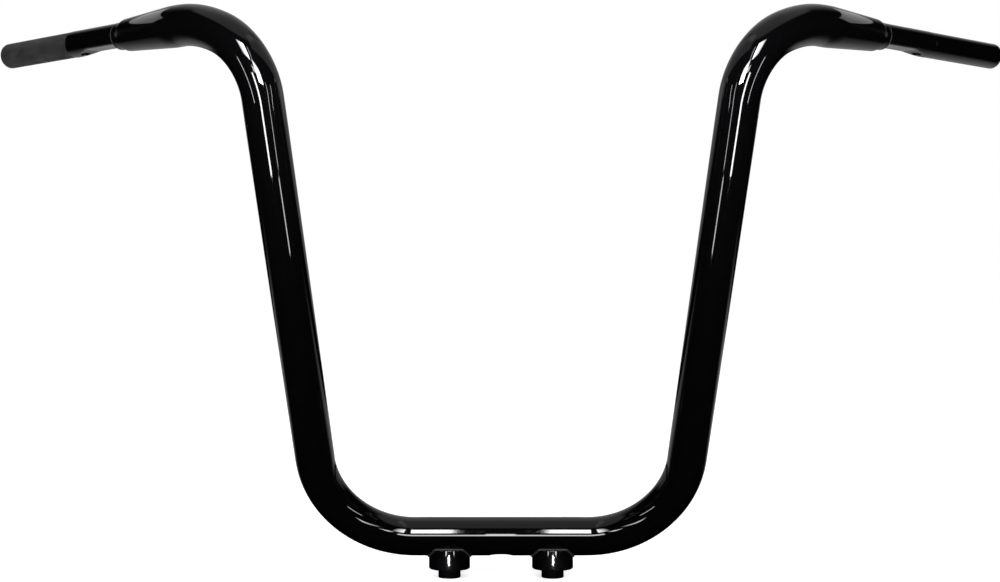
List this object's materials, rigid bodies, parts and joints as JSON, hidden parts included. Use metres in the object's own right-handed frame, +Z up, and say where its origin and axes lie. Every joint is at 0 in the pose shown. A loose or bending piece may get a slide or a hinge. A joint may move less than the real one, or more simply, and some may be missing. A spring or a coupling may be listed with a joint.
{
  "type": "ape hanger handlebar",
  "caption": "Tall U-shaped motorcycle handlebar in gloss black: bent fat tube, swept-back swaged ends, thinner control tubes and threaded mounting bungs below.",
  "frame": {"origin": "midway between the two mounting bungs, on their seat plane", "axes": "+X along the bottom run to the rider's left, +Y back towards the rider, +Z up along the bungs"},
  "size_m": [1.0064, 0.2575, 0.5421],
  "materials": {
    "tube_coat": "gloss black powder coat",
    "control_coat": "gloss black powder coat",
    "knurled_coat": "black coat over diamond knurl",
    "bung_coat": "gloss black powder coat",
    "weld_coat": "coated weld bead"
  },
  "bodies": {
    "root": {"main_tube": "tube_coat", "right_control_tube": "knurled_coat", "left_control_tube": "control_coat", "right_bung": "bung_coat", "left_bung": "bung_coat", "right_bung_weld": "weld_coat", "left_bung_weld": "weld_coat", "right_seam_weld": "weld_coat", "left_seam_weld": "weld_coat"}
  },
  "joints": []
}
